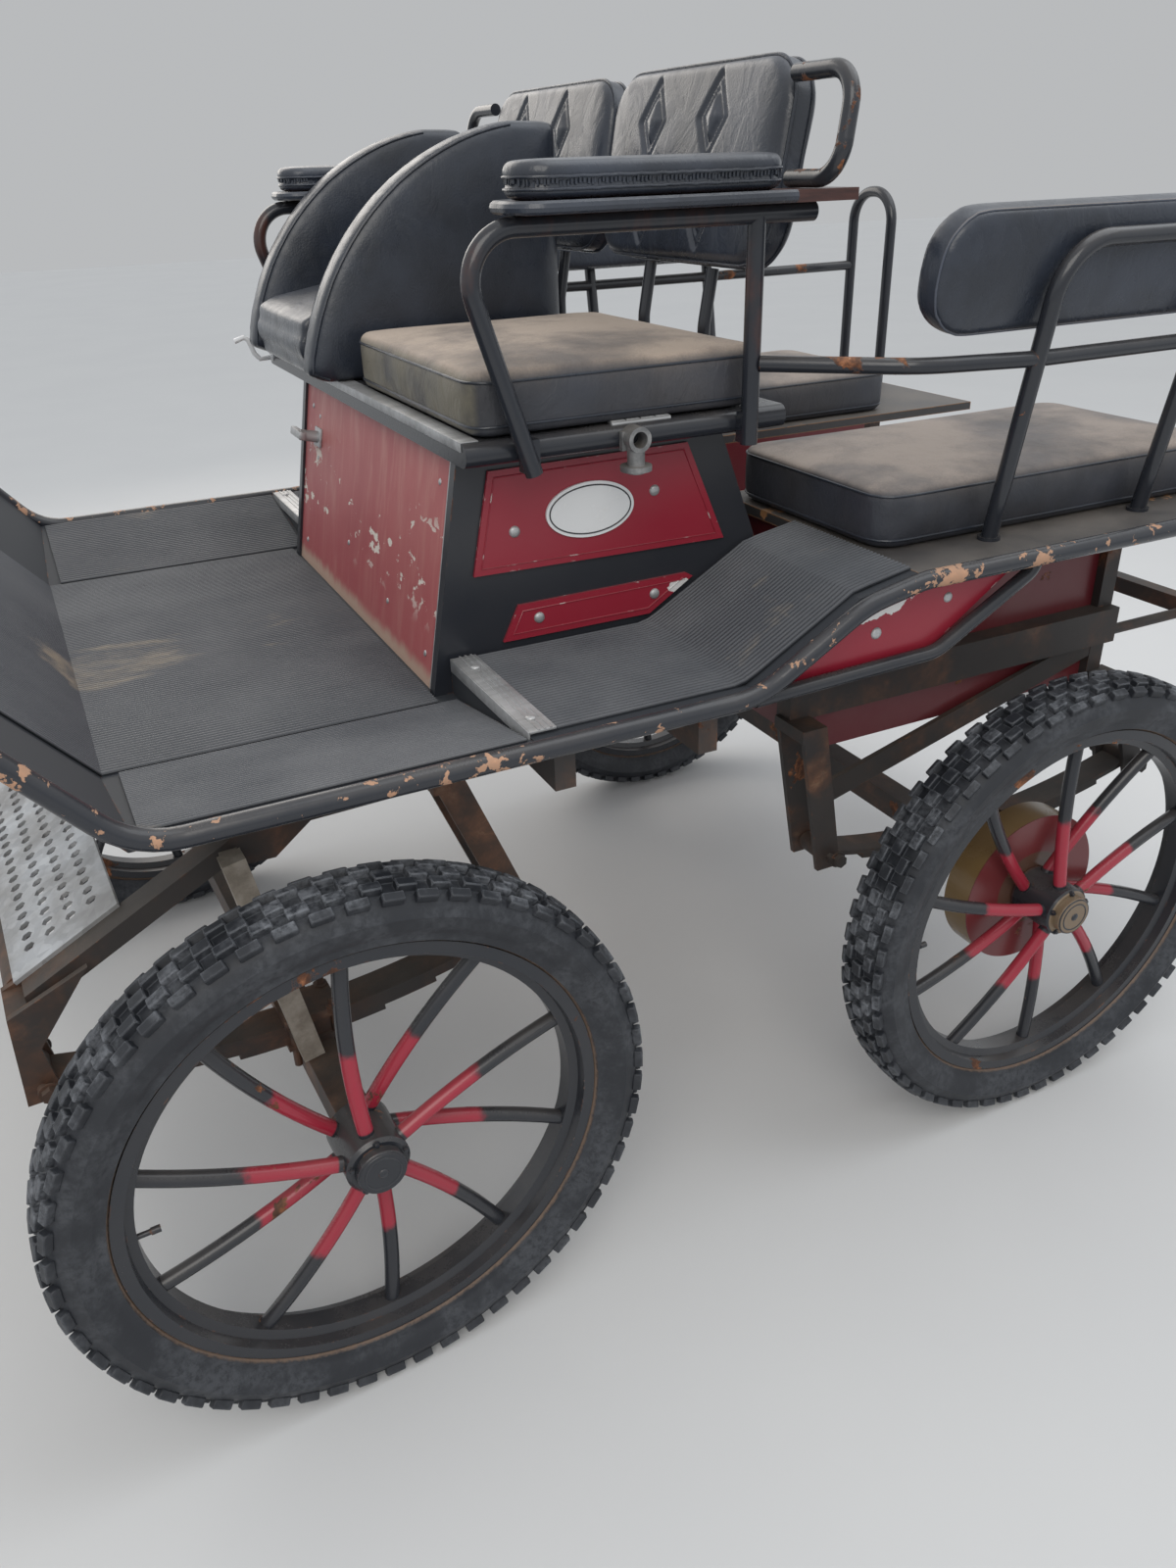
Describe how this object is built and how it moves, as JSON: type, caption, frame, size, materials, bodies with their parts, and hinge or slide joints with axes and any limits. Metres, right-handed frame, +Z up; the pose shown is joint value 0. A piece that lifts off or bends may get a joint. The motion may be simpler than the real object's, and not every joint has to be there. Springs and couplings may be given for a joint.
{
  "type": "horse drawn carriage",
  "caption": "Open four-wheeled carriage with a steered fore carriage, a raised front seat with arm rests and facing rear benches.",
  "frame": {"origin": "on the ground under the middle of the carriage", "axes": "+X forward, towards the pole, +Y to the carriage's left, +Z up"},
  "size_m": [2.0462, 1.3152, 1.4138],
  "materials": {
    "black_steel": "worn black paint over rusty steel tube",
    "dark_chassis": "dirty black paint with brown rust",
    "red_panel": "crimson gloss paint, scraped",
    "faded_panel": "sun-faded crimson paint on plywood",
    "dark_red_body": "dark red paint",
    "white_plate": "smooth white",
    "rib_rubber": "ribbed matting, dusty",
    "deck": "dusty dark deck",
    "leatherette": "black leatherette",
    "dusty_leatherette": "black leatherette under pale dust",
    "arm_board": "dark red-brown board",
    "galvanized": "dull galvanized sheet",
    "grey_metal": "dull grey casting",
    "pale_post": "pale weathered steel",
    "tyre": "dusty knobby tread",
    "wheel_paint": "black rim, spokes black outside and crimson inside"
  },
  "bodies": {
    "carriage": {"arm_boards": "arm_board", "arm_frames": "black_steel", "arm_pads": "leatherette", "backrest_frames": "black_steel", "bench_backrest_left": "leatherette", "bench_backrest_right": "leatherette", "bench_cushion_left": "dusty_leatherette", "bench_cushion_right": "dusty_leatherette", "bench_platforms": "deck", "bench_rails": "black_steel", "blank_ovals": "white_plate", "chassis": "dark_chassis", "driver_backrest": "leatherette", "driver_bolsters": "leatherette", "driver_cushion": "dusty_leatherette", "edge_rails": "black_steel", "floor_mat": "rib_rubber", "footboard": "deck", "front_panel": "faded_panel", "gusset_panels": "red_panel", "gusset_tubes": "black_steel", "lamp_brackets": "grey_metal", "passenger_backrest": "leatherette", "passenger_cushion": "dusty_leatherette", "rear_axle": "dark_chassis", "rear_body": "dark_red_body", "rear_springs": "dark_chassis", "rear_step": "galvanized", "running_boards": "deck", "running_mats": "rib_rubber", "seat_box": "black_steel", "seat_plate": "black_steel", "side_panels": "red_panel", "wing_mats": "rib_rubber"},
    "fore_carriage": {"fore_frame": "dark_chassis", "fore_side_bars": "dark_chassis", "nose_bar": "dark_chassis", "front_axle": "dark_chassis", "front_springs": "dark_chassis", "front_step": "galvanized", "front_posts": "pale_post"},
    "wheel_fl": {"wheel_fl": "wheel_paint", "tyre_fl": "tyre"},
    "wheel_fr": {"wheel_fr": "wheel_paint", "tyre_fr": "tyre"},
    "wheel_rl": {"wheel_rl": "wheel_paint", "tyre_rl": "tyre"},
    "wheel_rr": {"wheel_rr": "wheel_paint", "tyre_rr": "tyre"}
  },
  "joints": [
    {"name": "steer", "type": "hinge", "parent": "carriage", "child": "fore_carriage", "pos_m": [0.57192, 0, 0.7], "axis": [0, 0, 1], "range_deg": [-48, 42]},
    {"name": "wheel_fl_spin", "type": "hinge", "parent": "fore_carriage", "child": "wheel_fl", "pos_m": [0.54052, 0.59918, 0.345], "axis": [-0.0523, 0.9986, 0], "continuous": true},
    {"name": "wheel_fr_spin", "type": "hinge", "parent": "fore_carriage", "child": "wheel_fr", "pos_m": [0.60332, -0.59918, 0.345], "axis": [-0.0523, 0.9986, 0], "continuous": true},
    {"name": "wheel_rl_spin", "type": "hinge", "parent": "carriage", "child": "wheel_rl", "pos_m": [-0.47808, 0.6, 0.345], "axis": [0, 1, 0], "continuous": true},
    {"name": "wheel_rr_spin", "type": "hinge", "parent": "carriage", "child": "wheel_rr", "pos_m": [-0.47808, -0.6, 0.345], "axis": [0, 1, 0], "continuous": true}
  ]
}
